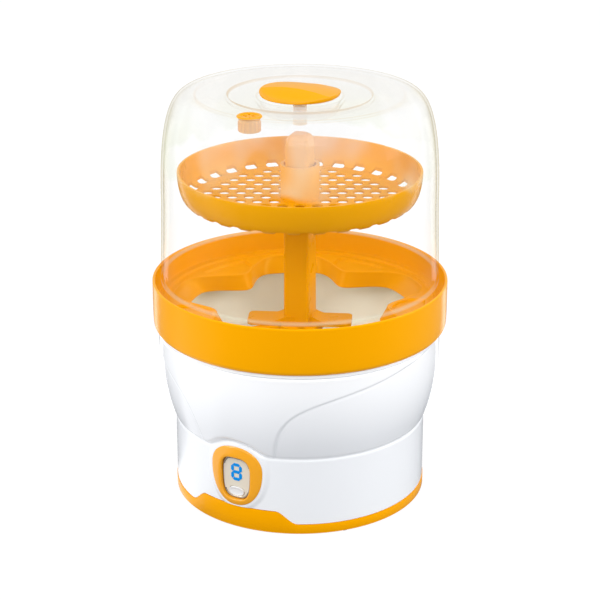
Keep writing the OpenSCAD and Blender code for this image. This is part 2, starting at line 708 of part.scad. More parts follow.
// The dome's outer corner: a squarish quarter ellipse, moved in by t.
function dome_corner(t) = [for (i = [0 : 10]) let (a = 9 * i)
    [crown_r + (bend_r - crown_r - t) * signed_power(cos(a), 0.743),
     bend_z + (dome_top - bend_z - t) * signed_power(sin(a), 0.743)]];
module lid_dome() {
    inner = dome_corner(dome_t);
    color("#e8f0f4", 0.3) difference() {
        revolve(concat(
            [[dome_r, dome_z]], dome_corner(0),
            [[86.5, dome_top - 0.8], [84, dish_z], [ring_r + 1, dish_z], [ring_r, dish_z - 0.8],
             [ring_r - 0.8, step_z], [well_r + 2.4, step_z], [well_r + 0.8, step_z + 0.6],
             [well_r, step_z - 0.2], [well_floor_r + 2, well_z + 1.5], [well_floor_r, well_z], [0, well_z],
             [0, well_z - dome_t], [well_floor_r + 0.6, well_z - dome_t], [well_floor_r + 3.6, well_z + 0.4],
             [well_r + 2, step_z - 2.2], [ring_r + 1.2, step_z - 2.2], [ring_r + 2, dish_z - dome_t],
             [84, dish_z - dome_t], [86.5, dome_top - dome_t - 0.8]],
            [for (i = [10 : -1 : 0]) inner[i]],
            [[dome_r - dome_t, dome_z]]));
        // hole and flat seat of the steam vent
        rotate([0, 0, vent_turn]) translate([0, -vent_pos, 0]) {
            disc(8.7, dome_top - 10, dome_top + 10);
            disc(vent_r + 0.3, dish_z - eps, dome_top + 10);
        }
        translate([0, 0, well_z - 10]) cylinder(r = 3.4, h = 20, $fn = 48);
    }
}

// A disc whose back part rises to a crest across it, the grip, on a stem that stands in the well.
crest_y = -9;
crest_h = 4.2;
module lid_knob() {
    color(orange) {
        revolve([[0, dome_top - 3], [knob_r - 2.4, dome_top - 3], [knob_r - 0.6, dome_top - 2.5],
                 [knob_r, dome_top - 1.6], [knob_r - 0.3, dome_top - 1], [0, dome_top - 1]]);
        hull() {
            intersection() {
                disc(knob_r - 0.8, dome_top - 2, dome_top - 1);
                block([-40, crest_y - 3, 0], [40, 40, 400]);
            }
            for (x = [-28 : 7 : 28]) translate([x, crest_y, dome_top - 2])
                cylinder(r = 0.8, h = 2 + crest_h * (1 - pow(x / 38, 2)), $fn = 16);
        }
        disc(5.6, well_z + eps, dome_top - 2);
        disc(3.2, well_z - 6, well_z + 1);
    }
}
module knob_nut() { color(orange) ring(5.7, 3.25, well_z - dome_t - 8.6, well_z - dome_t - 1.1); }
module knob_washer() { color("#d8d9da") ring(7, 3.3, well_z - dome_t - 1, well_z - dome_t - eps); }

module steam_vent() {
    top = dish_z + eps;
    color(orange) rotate([0, 0, vent_turn]) translate([0, -vent_pos, 0]) difference() {
        union() {
            revolve([[0, top], [vent_r - 0.5, top], [vent_r, top + 0.4], [vent_r - 0.1, top + 1.1],
                     [vent_r - 0.7, top + 1.6], [7.4, top + 1.6], [7, top + 0.9], [0, top + 0.9]]);
            disc(8.5, top - 11, top + 0.5);
            for (i = [0 : 15]) rotate([0, 0, i * 22.5]) block([8, -0.5, top - 10.5], [9, 0.5, top - 3.2]);
        }
        disc(6.6, top - 12, top - 1);
        for (i = [0 : 5]) rotate([0, 0, i * 60]) translate([4, 0, top - 5]) linear_extrude(8)
            rounded_rect(4, 1.6, 0.7);
    }
}

base_housing();
bottom_cover();
water_basin();
heating_plate();
plate_seal();
plate_clamp();
plate_screws();
heating_element();
thermostat();
thermal_fuse();
sensor_bracket();
power_board();
power_relay();
power_transformer();
filter_capacitor();
board_screws();
control_board();
control_screws();
display_module();
digit_segments();
display_window();
display_bezel();
tact_switch();
buzzer();
wiring();
power_cord();
mains_plug();
strain_relief();
rubber_feet();
cover_screws();
start_button();
switch_plunger();
lower_rack();
column();
upper_tray();
lid_dome();
lid_knob();
knob_nut();
knob_washer();
steam_vent();
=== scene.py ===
import json
import math

import bmesh
import bpy
import numpy as np
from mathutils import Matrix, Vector


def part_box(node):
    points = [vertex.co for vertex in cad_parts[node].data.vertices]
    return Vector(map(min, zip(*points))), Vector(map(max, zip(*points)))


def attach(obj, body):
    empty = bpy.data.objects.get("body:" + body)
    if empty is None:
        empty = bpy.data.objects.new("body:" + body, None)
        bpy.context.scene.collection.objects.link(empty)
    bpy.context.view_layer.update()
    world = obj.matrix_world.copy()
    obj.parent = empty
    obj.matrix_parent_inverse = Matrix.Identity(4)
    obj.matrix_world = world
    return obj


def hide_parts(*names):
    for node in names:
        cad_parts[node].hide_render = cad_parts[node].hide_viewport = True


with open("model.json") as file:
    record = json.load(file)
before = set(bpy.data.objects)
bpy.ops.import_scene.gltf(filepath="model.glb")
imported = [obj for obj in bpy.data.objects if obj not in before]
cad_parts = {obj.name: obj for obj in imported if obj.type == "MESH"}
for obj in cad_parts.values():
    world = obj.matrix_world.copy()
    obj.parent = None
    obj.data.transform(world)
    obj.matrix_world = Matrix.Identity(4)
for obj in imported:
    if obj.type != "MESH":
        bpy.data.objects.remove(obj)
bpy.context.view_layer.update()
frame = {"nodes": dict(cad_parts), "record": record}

MM = 0.001


def box_mm(node):
    """Lowest and highest corners of a CAD node, in millimetres."""
    low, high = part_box(node)
    return np.array(low) / MM, np.array(high) / MM


# ---- sizes that several pieces share ---------------------------------------
TRIM_R = box_mm("bottom_cover")[1][0]           # orange trim ring
BASE_R = TRIM_R - 0.5                           # white lower cylinder
DECK_Z = box_mm("base_housing")[1][2]           # top face of the base
FLANGE_R = box_mm("base_housing")[1][0]
BOWL_R = FLANGE_R - 1.6
BOWL_FOOT_R = BASE_R - 1.3
WAIST_Z = DECK_Z - 80                           # crease between cylinder and bowl
TRIM_H = 9.0
TONGUE_H = 20.0
APRON_T = 1.1                                   # the bowl's front stands out by this much
BEZEL_LOW, BEZEL_HIGH = box_mm("display_bezel")
BEZEL_W = BEZEL_HIGH[0]
BEZEL_Z = BEZEL_HIGH[2] - (BEZEL_W - 4)
WINDOW_LOW, WINDOW_HIGH = box_mm("display_window")
WINDOW_Z = (WINDOW_LOW[2] + WINDOW_HIGH[2]) / 2
WINDOW_H = WINDOW_HIGH[2] - WINDOW_LOW[2]
WINDOW_W = WINDOW_H - 10
BUTTON_LOW, BUTTON_HIGH = box_mm("start_button")
BUTTON_Z = (BUTTON_LOW[2] + BUTTON_HIGH[2]) / 2
BUTTON_W = 2 * BUTTON_HIGH[0] - 2
BUTTON_H = BUTTON_HIGH[2] - BUTTON_LOW[2] - 2
BUTTON_GAP = 0.3
PAD_R = BASE_R + 1.5                            # white pad around the bezel
PAD_W = 3.5
COLLAR_R = box_mm("lower_rack")[1][0]
RACK_Z = DECK_Z + 0.15                          # underside of the rack
RACK_RIM_Z = box_mm("lower_rack")[1][2]
LEDGE_Z = RACK_RIM_Z - 18.5                     # the dome stands here
SHELF_Z = LEDGE_Z - 2
HUB_Z = box_mm("lower_rack")[0][2]
BAY_COUNT = 5
STAR_TURN = math.radians(2.5)                   # the loose rack sits turned by this much
LENS_R = BASE_R                                 # the window's lens curves with the base, sunk into the bezel
DOME_LOW, DOME_HIGH = box_mm("lid_dome")
DOME_R = DOME_HIGH[0]
DOME_TOP = DOME_HIGH[2]
DOME_T = 2.0
KNOB_R = box_mm("lid_knob")[1][0]
VENT_Y = (box_mm("steam_vent")[0][1] + box_mm("steam_vent")[1][1]) / 2


# ---- small maths --------------------------------------------------------------
def smoothstep(low, high, value):
    t = np.clip((value - low) / (high - low), 0.0, 1.0)
    return t * t * (3.0 - 2.0 * t)


def smooth_min(a, b, width):
    """The lesser of a and b, with a fillet of this width where they cross."""
    h = np.clip(0.5 + 0.5 * (b - a) / width, 0.0, 1.0)
    return b * (1 - h) + a * h - width * h * (1 - h)


def bezier(points, count):
    """Points of a cubic Bezier curve."""
    p = np.array(points, float)
    t = np.linspace(0, 1, count)[:, None]
    return (1 - t) ** 3 * p[0] + 3 * t * (1 - t) ** 2 * p[1] + 3 * t * t * (1 - t) * p[2] + t ** 3 * p[3]


def rounded(corners, steps=4, closed=True):
    """Rounds a polygon's corners. Each corner is (r, z) or (r, z, radius)."""
    result = []
    count = len(corners)
    for i, corner in enumerate(corners):
        here = np.array(corner[:2], float)
        radius = corner[2] if len(corner) > 2 else 0
        if radius == 0 or (not closed and i in (0, count - 1)):
            result.append(here)
            continue
        before = np.array(corners[i - 1][:2], float) - here
        after = np.array(corners[(i + 1) % count][:2], float) - here
        start = here + before / np.linalg.norm(before) * min(radius, np.linalg.norm(before) / 2)
        end = here + after / np.linalg.norm(after) * min(radius, np.linalg.norm(after) / 2)
        for k in range(steps + 1):
            t = k / steps
            result.append((1 - t) ** 2 * start + 2 * t * (1 - t) * here + t * t * end)
    return result


def distance_to_curve(points, curve):
    """Distance of each point to a polyline, positive on the curve's left side."""
    best = np.full(len(points), 1e9)
    side = np.ones(len(points))
    for a, b in zip(curve[:-1], curve[1:]):
        d = b - a
        t = np.clip(((points - a) @ d) / (d @ d), 0, 1)
        away = points - (a + t[:, None] * d)
        length = np.hypot(away[:, 0], away[:, 1])
        nearer = length < best
        best = np.where(nearer, length, best)
        side = np.where(nearer, np.sign(d[0] * away[:, 1] - d[1] * away[:, 0]), side)
    return best * side


def signed_power(value, power):
    return np.sign(value) * np.abs(value) ** power


# ---- materials ----------------------------------------------------------------
class Shader:
    """Short calls for building one material's nodes. Textures use object coordinates, in metres."""

    def __init__(self, name):
        self.material = bpy.data.materials.new(name)
        self.material.use_nodes = True
        self.tree = self.material.node_tree
        self.bsdf = self.tree.nodes["Principled BSDF"]
        self.output = self.tree.nodes["Material Output"]
        self.place = self.add("ShaderNodeTexCoord").outputs["Object"]

    def add(self, kind, settings=None, **inputs):
        node = self.tree.nodes.new(kind)
        for key, value in (settings or {}).items():
            setattr(node, key, value)
        for key, value in inputs.items():
            self.put(node.inputs[key.replace("_", " ")], value)
        return node

    def put(self, socket, value):
        if isinstance(value, bpy.types.NodeSocket):
            self.tree.links.new(value, socket)
        else:
            socket.default_value = value

    def set(self, **inputs):
        for key, value in inputs.items():
            self.put(self.bsdf.inputs[key.replace("_", " ")], value)

    def noise(self, scale, detail=3.0, stretch=(1, 1, 1)):
        mapping = self.add("ShaderNodeMapping", Vector=self.place, Scale=stretch)
        return self.add("ShaderNodeTexNoise", Vector=mapping.outputs[0], Scale=scale, Detail=detail).outputs[0]

    def spread(self, value, low, high, start=0.3, end=0.7):
        """Maps a noise value from start..end to low..high."""
        node = self.add("ShaderNodeMapRange", Value=value)
        for key, number in (("From Min", start), ("From Max", end), ("To Min", low), ("To Max", high)):
            node.inputs[key].default_value = number
        return node.outputs[0]

    def curve(self, value, power, low, high):
        """low + (high - low) * value ** power."""
        raised = self.add("ShaderNodeMath", {"operation": "POWER"})
        self.put(raised.inputs[0], value)
        raised.inputs[1].default_value = power
        return self.spread(raised.outputs[0], low, high, 0.0, 1.0)

    def mix_colour(self, factor, a, b):
        node = self.add("ShaderNodeMix", {"data_type": "RGBA"})
        self.put(node.inputs["Factor"], factor)
        self.put(node.inputs["A"], a)
        self.put(node.inputs["B"], b)
        return node.outputs["Result"]

    def bump(self, height, strength, distance, normal=None):
        node = self.add("ShaderNodeBump", Height=height, Strength=strength, Distance=distance)
        if normal is not None:
            self.put(node.inputs["Normal"], normal)
        return node.outputs[0]


def shade(colour, factor):
    return tuple(c * factor for c in colour[:3]) + (1.0,)


def moulded_plastic(name, colour, rough=0.25, coat=0.0, texture=0.02, variation=0.05, shine=None, bounce=None,
                    specular=0.5, coat_ior=1.5, painted_light_by_height=None):
    """Injection moulded plastic: slight flow marks in the colour, uneven gloss and a fine skin texture.

    Shine tints its highlights; bounce is the colour it throws on its neighbours; the last argument is
    (another colour, the height in mm where it begins, the height where it is complete): painted light, the colour
    turning to the other one up the part, standing in for light that changes with height."""
    s = Shader(name)
    flow = s.noise(28, 4, (1, 1, 0.45))
    skin = s.noise(2600, 2)
    sink = s.noise(24, 1)
    skin_colour = s.mix_colour(flow, shade(colour, 1 - variation), shade(colour, 1 + variation * 0.6))
    # painted light: between the given heights the colour turns to the other one, as if the part were lit more towards
    # the top
    if painted_light_by_height:
        height = s.add("ShaderNodeSeparateXYZ", Vector=s.place).outputs["Z"]
        skin_colour = s.mix_colour(s.spread(height, 0.0, 1.0, painted_light_by_height[1] * MM, painted_light_by_height[2] * MM), skin_colour,
                                   shade(painted_light_by_height[0], 1.0))
    if bounce:
        to_neighbour = s.add("ShaderNodeLightPath").outputs["Is Diffuse Ray"]
        skin_colour = s.mix_colour(to_neighbour, skin_colour, shade(bounce, 1.0))
    s.set(Base_Color=skin_colour, Roughness=s.spread(s.noise(60, 2), rough * 0.95, rough * 1.08),
          IOR=1.45, Specular_IOR_Level=specular, Coat_Weight=coat, Coat_Roughness=rough * 0.5, Coat_IOR=coat_ior,
          Normal=s.bump(skin, texture, 0.00003, s.bump(sink, 0.02, 0.0002)))
    if shine:
        s.set(Specular_Tint=shine, Coat_Tint=shine)
    return s.material


def brushed_metal(name, colour, rough=0.3, round_brush=False):
    """Metal with fine brush lines, either along X or in rings around the axis."""
    s = Shader(name)
    if round_brush:
        radius = s.add("ShaderNodeTexGradient", {"gradient_type": "SPHERICAL"}, Vector=s.place).outputs[1]
        lines = s.add("ShaderNodeTexNoise", {"noise_dimensions": "1D"}, W=radius, Scale=4000.0).outputs[0]
    else:
        lines = s.noise(300, 4, (0.03, 1, 6))
    s.set(Base_Color=s.mix_colour(lines, shade(colour, 0.82), shade(colour, 1.08)), Metallic=1.0,
          Roughness=s.spread(lines, rough * 0.7, rough * 1.3),
          Normal=s.bump(lines, 0.15, 0.00005))
    return s.material


def soft_rubber(name, colour, rough=0.6):
    s = Shader(name)
    grain = s.noise(1500, 3)
    s.set(Base_Color=s.mix_colour(s.noise(90, 3), shade(colour, 0.85), shade(colour, 1.1)),
          Roughness=s.spread(grain, rough * 0.85, rough * 1.15), Normal=s.bump(grain, 0.25, 0.0001))
    return s.material


def circuit_board(name, colour):
    """Solder mask with faint copper tracks below it."""
    s = Shader(name)
    brick = s.add("ShaderNodeTexBrick", {"offset": 0.5}, Vector=s.place, Scale=160.0)
    brick.inputs["Mortar Size"].default_value = 0.03
    s.set(Base_Color=s.mix_colour(brick.outputs["Fac"], shade(colour, 0.75), shade(colour, 1.5)),
          Roughness=s.spread(s.noise(300), 0.25, 0.4), Coat_Weight=0.3,
          Normal=s.bump(brick.outputs["Fac"], 0.3, 0.00005))
    return s.material


def clear_plastic(name, haze_z):
    """Thin clear plastic. Glancing edges turn warm and reflect; above haze_z (mm) faint patches of painted glow,
    emitted light that stands in for a whitish reflected haze.
    """
    s = Shader(name)
    s.tree.nodes.remove(s.bsdf)
    glance = s.add("ShaderNodeLayerWeight", Blend=0.5).outputs["Facing"]
    tint = s.mix_colour(s.curve(glance, 8.0, 0.0, 1.0), (1.0, 1.0, 1.0, 1), (0.95, 0.87, 0.66, 1))
    place = s.add("ShaderNodeSeparateXYZ", Vector=s.place)
    height = place.outputs["Z"]
    # painted reflection: thin orange-brown lines tinted into the lid along its moulded top edges, standing in for the
    # orange below seen in them: (radius in mm, half width in mm, strength)
    flat = s.add("ShaderNodeVectorMath", {"operation": "MULTIPLY"})
    s.put(flat.inputs[0], s.place)
    flat.inputs[1].default_value = (1, 1, 0)
    radius = s.add("ShaderNodeVectorMath", {"operation": "LENGTH"})
    s.put(radius.inputs[0], flat.outputs[0])
    near_top = s.spread(height, 0.0, 1.0, (DOME_TOP - 6) * MM, (DOME_TOP - 5.5) * MM)
    facing_front = s.spread(place.outputs["Y"], 1.0, 0.35, -0.06, 0.04)
    for ring_r, half_width, strength in ((59.0, 1.1, 1.0), (85.5, 1.6, 0.15), (35.6, 0.9, 0.4)):
        off = s.add("ShaderNodeMath", {"operation": "SUBTRACT"})
        s.put(off.inputs[0], radius.outputs["Value"])
        off.inputs[1].default_value = ring_r * MM
        size = s.add("ShaderNodeMath", {"operation": "ABSOLUTE"})
        s.put(size.inputs[0], off.outputs[0])
        line = s.add("ShaderNodeMath", {"operation": "MULTIPLY"})
        s.put(line.inputs[0], s.spread(size.outputs[0], strength, 0.0, 0.2 * half_width * MM, half_width * MM))
        s.put(line.inputs[1], near_top)
        shown = s.add("ShaderNodeMath", {"operation": "MULTIPLY"})
        s.put(shown.inputs[0], line.outputs[0])
        s.put(shown.inputs[1], facing_front)
        tint = s.mix_colour(shown.outputs[0], tint, (0.82, 0.60, 0.34, 1))
    through = s.add("ShaderNodeBsdfTransparent", Color=tint)
    edge = s.add("ShaderNodeMath", {"operation": "ADD"})
    s.put(edge.inputs[0], height)
    s.put(edge.inputs[1], s.spread(s.noise(26, 2), -0.006, 0.006))
    # above the haze line, noisy patches of painted glow
    haze_zone = s.spread(edge.outputs[0], 0.0, 1.0, haze_z * MM, (haze_z + 5) * MM)
    patch = s.spread(s.noise(16, 2, (1, 1, 0.6)), 0.06, 0.23, 0.42, 0.54)
    painted_haze = s.add("ShaderNodeMath", {"operation": "MULTIPLY"})
    s.put(painted_haze.inputs[0], haze_zone)
    s.put(painted_haze.inputs[1], patch)
    # a thin band of painted glow just above the collar
    band_low = s.spread(height, 0.0, 0.16, (RACK_RIM_Z - 0.5) * MM, (RACK_RIM_Z + 0.5) * MM)
    band_high = s.spread(height, 1.0, 0.0, (RACK_RIM_Z + 2) * MM, (RACK_RIM_Z + 3.5) * MM)
    band = s.add("ShaderNodeMath", {"operation": "MULTIPLY"})
    s.put(band.inputs[0], band_low)
    s.put(band.inputs[1], band_high)
    painted_glow_share = s.add("ShaderNodeMath", {"operation": "ADD"})
    s.put(painted_glow_share.inputs[0], painted_haze.outputs[0])
    s.put(painted_glow_share.inputs[1], band.outputs[0])
    # painted glow: emitted light that lightens what is seen through the lid, greenish low down and grey higher up
    painted_glow_colour = s.mix_colour(s.spread(height, 0.0, 1.0, 0.30, 0.34), (0.86, 0.91, 0.74, 1), (0.90, 0.90, 0.90, 1))
    painted_glow = s.add("ShaderNodeEmission", Color=painted_glow_colour, Strength=1.0)
    with_painted_glow = s.add("ShaderNodeMixShader", Fac=painted_glow_share.outputs[0])
    s.tree.links.new(through.outputs[0], with_painted_glow.inputs[1])
    s.tree.links.new(painted_glow.outputs[0], with_painted_glow.inputs[2])
    ripple = s.bump(s.noise(30, 2), 0.03, 0.001)
    shine = s.add("ShaderNodeBsdfGlossy", Color=(1, 1, 1, 1), Roughness=s.spread(s.noise(60), 0.02, 0.05), Normal=ripple)
    mixed = s.add("ShaderNodeMixShader", Fac=s.curve(glance, 6.0, 0.005, 0.25))
    s.tree.links.new(with_painted_glow.outputs[0], mixed.inputs[1])
    s.tree.links.new(shine.outputs[0], mixed.inputs[2])
    # light passes straight through, so the inside is as bright as the outside
    paths = s.add("ShaderNodeLightPath")
    not_seen = s.add("ShaderNodeMath", {"operation": "MAXIMUM"})
    s.put(not_seen.inputs[0], paths.outputs["Is Shadow Ray"])
    s.put(not_seen.inputs[1], paths.outputs["Is Diffuse Ray"])
    bare = s.add("ShaderNodeBsdfTransparent")
    choice = s.add("ShaderNodeMixShader", Fac=not_seen.outputs[0])
    s.tree.links.new(mixed.outputs[0], choice.inputs[1])
    s.tree.links.new(bare.outputs[0], choice.inputs[2])
    s.tree.links.new(choice.outputs[0], s.output.inputs["Surface"])
    return s.material


ORANGE = (0.93, 0.385, 0.0)
orange = moulded_plastic("orange_plastic", ORANGE, 0.24, variation=0.02, shine=(1.0, 0.62, 0.05, 1),
                         bounce=(0.85, 0.52, 0.16), specular=0.3)
# painted shade: a darker copy of the orange for the upper tray and column, which stand in shade inside the lid
shaded_orange = moulded_plastic("shaded_orange", (0.80, 0.345, 0.0), 0.28, variation=0.02, shine=(1.0, 0.62, 0.05, 1),
                               bounce=(0.85, 0.52, 0.16), specular=0.2)
bezel_orange = moulded_plastic("bezel_orange", ORANGE, 0.10, coat=0.8, variation=0.02, specular=0.2, coat_ior=1.6)
satin_orange = moulded_plastic("satin_orange", (0.82, 0.36, 0.0), 0.34, variation=0.02, specular=0.15)
natural = moulded_plastic("natural_plastic", (0.80, 0.70, 0.52), 0.35, variation=0.02, specular=0.3)
# the lens rim: its own metal, with the colour darkened to brown as painted shade for the shadowed bevel
shaded_lens_rim = brushed_metal("shaded_lens_rim", (0.50, 0.42, 0.32), 0.2)
# the white housing's colour rises towards the top of the bowl: painted light, not the plastic's own tone
white = moulded_plastic("white_plastic", (0.89, 0.90, 0.92), 0.16, coat=0.4, variation=0.01,
                        painted_light_by_height=((0.99, 0.99, 1.0), WAIST_Z + 15, DECK_Z - 10))
basin = moulded_plastic("basin_plastic", (0.97, 0.94, 0.80), 0.35, variation=0.02,
                        bounce=(0.9, 0.9, 0.82))
clear = clear_plastic("clear_plastic", 286)
stainless = brushed_metal("stainless", (0.70, 0.70, 0.71), 0.25, round_brush=True)
zinc = brushed_metal("zinc_steel", (0.60, 0.61, 0.63), 0.35)
element_metal = brushed_metal("element_metal", (0.42, 0.42, 0.43), 0.45)
silicone = soft_rubber("silicone", (0.75, 0.76, 0.77), 0.5)
foot_rubber = soft_rubber("foot_rubber", (0.09, 0.09, 0.095), 0.7)
board = circuit_board("board_green", (0.02, 0.18, 0.06))
black_part = moulded_plastic("component_black", (0.025, 0.025, 0.028), 0.45, texture=0.05)
tape = moulded_plastic("transformer_yellow", (0.60, 0.42, 0.08), 0.4)
capacitor = moulded_plastic("capacitor_blue", (0.03, 0.06, 0.16), 0.25, coat=0.5)
ceramic = moulded_plastic("ceramic", (0.68, 0.60, 0.42), 0.6)
digit_blue = moulded_plastic("digit_blue", (0.0, 0.27, 0.76), 0.35, specular=0.1)
smoke = moulded_plastic("window_smoke", (0.76, 0.69, 0.57), 0.15, coat=0.6)
silver = moulded_plastic("button_silver", (0.80, 0.80, 0.80), 0.2, coat=0.5)
wire_red = moulded_plastic("wire_red", (0.42, 0.03, 0.015), 0.35)
cord_white = moulded_plastic("cord_white", (0.74, 0.75, 0.76), 0.45, texture=0.06)

MATERIAL_OF_SLOT = {
    "orange_plastic": orange, "white_plastic": white, "basin_plastic": basin, "clear_plastic": clear,
    "stainless": stainless, "zinc_steel": zinc, "element_metal": element_metal, "silicone": silicone,
    "foot_rubber": foot_rubber, "board_green": board, "component_black": black_part,
    "transformer_yellow": tape, "capacitor_blue": capacitor, "ceramic": ceramic, "digit_blue": digit_blue,
    "window_smoke": smoke, "button_silver": silver, "switch_metal": zinc, "wire_red": wire_red,
    "cord_white": cord_white,
}


# ---- meshes -------------------------------------------------------------------
def smooth_shading(mesh, angle=35):
    """Smooth shading, with edges sharper than the angle kept crisp."""
    for polygon in mesh.polygons:
        polygon.use_smooth = True
    mesh.set_sharp_from_angle(angle=math.radians(angle))


def add_piece(name, verts, faces, body, slot, stands_for=(), angle=35):
    mesh = bpy.data.meshes.new(name)
    mesh.from_pydata((np.asarray(verts, float) * MM).tolist(), [], faces)
    work = bmesh.new()
    work.from_mesh(mesh)
    bmesh.ops.remove_doubles(work, verts=work.verts, dist=1e-6)
    bmesh.ops.recalc_face_normals(work, faces=work.faces)
    work.to_mesh(mesh)
    work.free()
    smooth_shading(mesh, angle)
    mesh.materials.append(MATERIAL_OF_SLOT[slot])
    piece = bpy.data.objects.new(name, mesh)
    bpy.context.scene.collection.objects.link(piece)
    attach(piece, body)
    if stands_for:
        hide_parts(*stands_for)
    return piece


def grid_faces(rows, columns, wrap_rows=False, wrap_columns=True):
    """Quads of a grid whose points are stored row after row."""
    faces = []
    for i in range(rows if wrap_rows else rows - 1):
        for j in range(columns if wrap_columns else columns - 1):
            k = (j + 1) % columns
            a, b = i * columns, ((i + 1) % rows) * columns
            faces.append((a + j, a + k, b + k, b + j))
    return faces


def lathe(profile, segments=192):
    """Closed profile of (radius, height), turned around the Z axis."""
    angles = np.linspace(0, 2 * math.pi, segments, endpoint=False)
    verts = [(r * math.cos(a), r * math.sin(a), z) for r, z in profile for a in angles]
    return verts, grid_faces(len(profile), segments, wrap_rows=True)


def bowl_at(z):
    """Outer radius of the bowl at height z: steep rounding low down, upright at the top."""
    t = np.clip((z - WAIST_Z + 3) / 70, 0, 1)
    return BOWL_FOOT_R + (BOWL_R - BOWL_FOOT_R) * (1 - (1 - t) ** 2.3)


def trim_edge(x, y):
    """Height of the trim ring's upper edge, with its raised tongue at the front."""
    rise = (1 + np.cos(np.pi * np.clip((np.abs(x) - 33) / 18, 0, 1))) / 2
    return TRIM_H + (TONGUE_H - TRIM_H) * np.where(y < 0, rise, 0)


def egg_distance(x, z):
    """Signed distance to the bezel's egg outline, negative inside."""
    dz = z - BEZEL_Z
    half = np.where(dz > 0, BEZEL_W - 4, BEZEL_W + 8.5)
    power = 2 / 0.92
    rho = (np.abs(x / BEZEL_W) ** power + np.abs(dz / half) ** power) ** (1 / power)
    return np.hypot(x, dz) * (1 - 1 / np.maximum(rho, 1e-3))


def build_housing():
    """White base shell: cylinder, crease, bowl with its front apron, and a pad around the bezel."""
    front = np.radians(np.arange(-84, 126, 0.3))
    back = np.radians(np.arange(126, 276, 2.4))
    angles = np.concatenate([front, back])
    sin_a, cos_a = np.sin(angles), np.cos(angles)
    low = trim_edge(BASE_R * sin_a, -cos_a) + 0.15
    rows = [np.stack([np.full_like(low, BASE_R - 2.4), low]), np.stack([np.full_like(low, BASE_R - 0.5), low])]
    split = TONGUE_H + 4
    heights = [low + 0.35 + (split - low - 0.35) * t for t in np.linspace(0, 1, 22)]
    heights += [np.full_like(low, z) for z in np.concatenate([
        np.arange(split + 0.7, WAIST_Z - 4, 0.7), np.arange(WAIST_Z - 4, WAIST_Z + 12, 0.3),
        np.arange(WAIST_Z + 12, DECK_Z - 4, 0.7)])]

    edge = bezier([(36.5, WAIST_Z - 4), (39, WAIST_Z + 50), (62, WAIST_Z + 53), (150, DECK_Z - 9.5)], 40)
    edge = np.vstack([edge, [(205, DECK_Z - 1)]])
    for z in heights:
        x = BASE_R * sin_a
        egg = egg_distance(x, z) + np.where(cos_a < 0.5, 200, 0)
        lower = smooth_min(z - WAIST_Z, egg - PAD_W, 6.0)
        pad = smoothstep(2.4, -2.4, egg - PAD_W)
        shoulder = 0.9 * (1 - np.sqrt(1 - np.clip((lower + 3) / 2.5, 0, 0.96) ** 2))
        r_low = BASE_R + (PAD_R - BASE_R) * pad - shoulder
        across = np.abs(angles) * BOWL_R
        apron = distance_to_curve(np.stack([np.where(angles > math.pi, 999, across), z], axis=1), edge)
        step = APRON_T * smoothstep(-1.0, 1.0, apron) - 0.35 * np.exp(-((apron + 1.6) / 0.9) ** 2)
        step *= smoothstep(DECK_Z - 3.5, DECK_Z - 6, z)
        r_high = bowl_at(z) + step
        width = 2.2 + 0.6 * np.maximum(0, r_high - r_low)
        radius = r_low + (r_high - r_low) * smoothstep(0, width, lower)
        rows.append(np.stack([radius, z]))
    top = rounded([(BOWL_R, DECK_Z - 4), (BOWL_R + 0.2, DECK_Z - 3.2, 0.6), (FLANGE_R, DECK_Z - 3, 0.5),
                   (FLANGE_R, DECK_Z, 1.2), (BOWL_R - 4, DECK_Z, 0.5), (BOWL_R - 4, DECK_Z - 2.1),
                   (BOWL_R - 9, DECK_Z - 2.1), (BOWL_R - 9, DECK_Z - 5)], closed=False)
    rows += [np.stack([np.full_like(low, r), np.full_like(low, z)]) for r, z in top]
    verts = [(r * s, -r * c, z) for row in rows for r, z, s, c in zip(row[0], row[1], sin_a, cos_a)]
    faces = grid_faces(len(rows), len(angles))
    window = [i for i, v in enumerate(verts) if v[1] < 0 and abs(v[0]) < WINDOW_W / 2 + 3
              and abs(v[2] - WINDOW_Z) < WINDOW_H / 2 + 3
              and window_radius(v[0], v[2]) < 1.06]
    window = set(window)
    faces = [f for f in faces if not all(i in window for i in f)]
    piece = add_piece("base_housing_shell", verts, faces, "base", "white_plastic", ("base_housing",), 50)
    return piece


def window_radius(x, z):
    """1 on the window's outline, less inside."""
    u = (z - WINDOW_Z) / (WINDOW_H / 2)
    v = x / (WINDOW_W / 2 * (1 + 0.05 * u))
    power = 2 / 0.62
    return (abs(u) ** power + abs(v) ** power) ** (1 / power)


def dome_corner(inset):
    """Outer corner of the dome as (radius, height): a squarish quarter ellipse, moved in by inset."""
    crown_r, bend_r, bend_z = 90, DOME_R - 2.3, DOME_TOP - 94
    a = np.radians(np.concatenate([[0, 0.15, 0.5, 1], np.arange(2, 89, 2), [89, 89.5, 90]]))
    radius = crown_r + (bend_r - crown_r - inset) * signed_power(np.cos(a), 0.743)
    height = bend_z + (DOME_TOP - bend_z - inset) * signed_power(np.sin(a), 0.743)
    return list(zip(radius, height))


